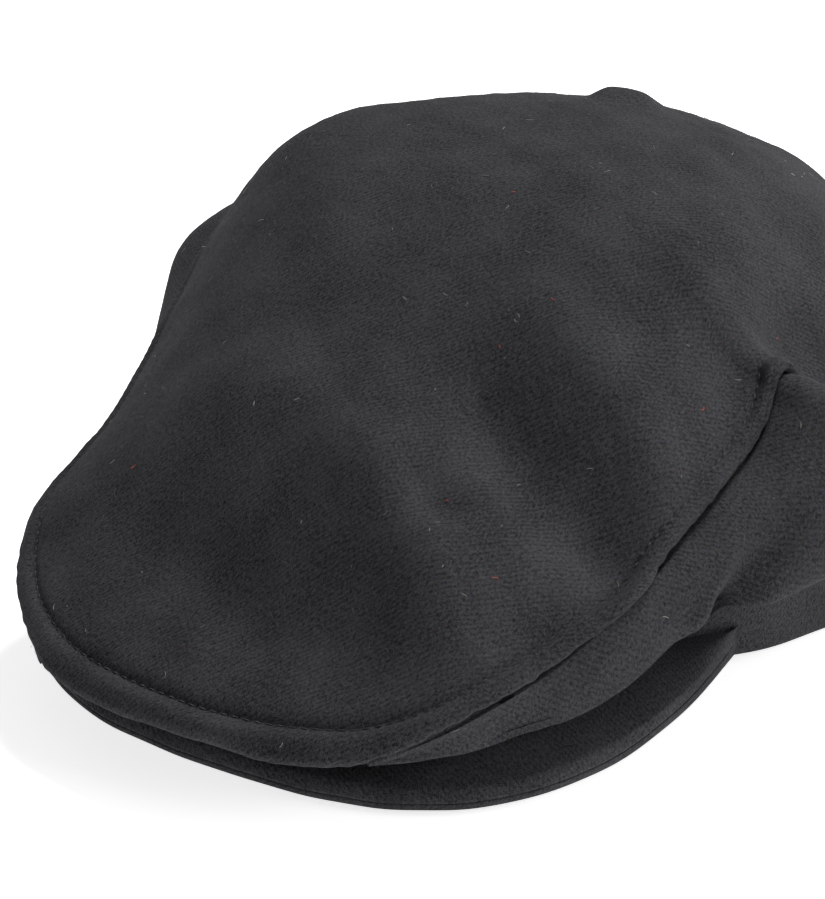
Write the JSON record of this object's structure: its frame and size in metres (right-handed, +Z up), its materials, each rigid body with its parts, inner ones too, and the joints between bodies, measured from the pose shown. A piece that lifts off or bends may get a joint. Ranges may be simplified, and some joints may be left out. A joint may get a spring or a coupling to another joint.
{
  "type": "newsboy cap",
  "caption": "Soft newsboy cap with one large sloping top panel, two side panels, a wool-covered stiff visor, a headband and a lined crown.",
  "frame": {"origin": "middle of the cap's footprint, on the surface it lies on", "axes": "+Z up out of the crown, -Y towards the front of the visor, +X towards the wearer's left"},
  "size_m": [0.1928, 0.2624, 0.0916],
  "materials": {
    "wool": "black felted wool twill with a short fuzzy nap",
    "lining": "black satin",
    "sweatband_cloth": "black cotton twill",
    "visor_board": "stiff plastic board, hidden inside the visor",
    "snap_metal": "plated steel, hidden under the lip"
  },
  "bodies": {
    "root": {"top_panel": "wool", "left_side_panel": "wool", "right_side_panel": "wool", "headband": "wool", "sweatband": "sweatband_cloth", "lining_top": "lining", "lining_left": "lining", "lining_right": "lining", "visor_top_cover": "wool", "visor_board": "visor_board", "visor_under_cover": "wool", "snap_stud": "snap_metal", "snap_stud_post": "snap_metal"},
    "crown_front": {"lip_facing": "sweatband_cloth", "snap_socket": "snap_metal", "snap_socket_cap": "snap_metal"}
  },
  "joints": [
    {"name": "lip_lift", "type": "hinge", "parent": "root", "child": "crown_front", "pos_m": [0, -0.08305, 0.0184], "axis": [-1, 0, 0], "range_deg": [0, 22], "deforming": ["top_panel", "left_side_panel", "right_side_panel"]}
  ]
}
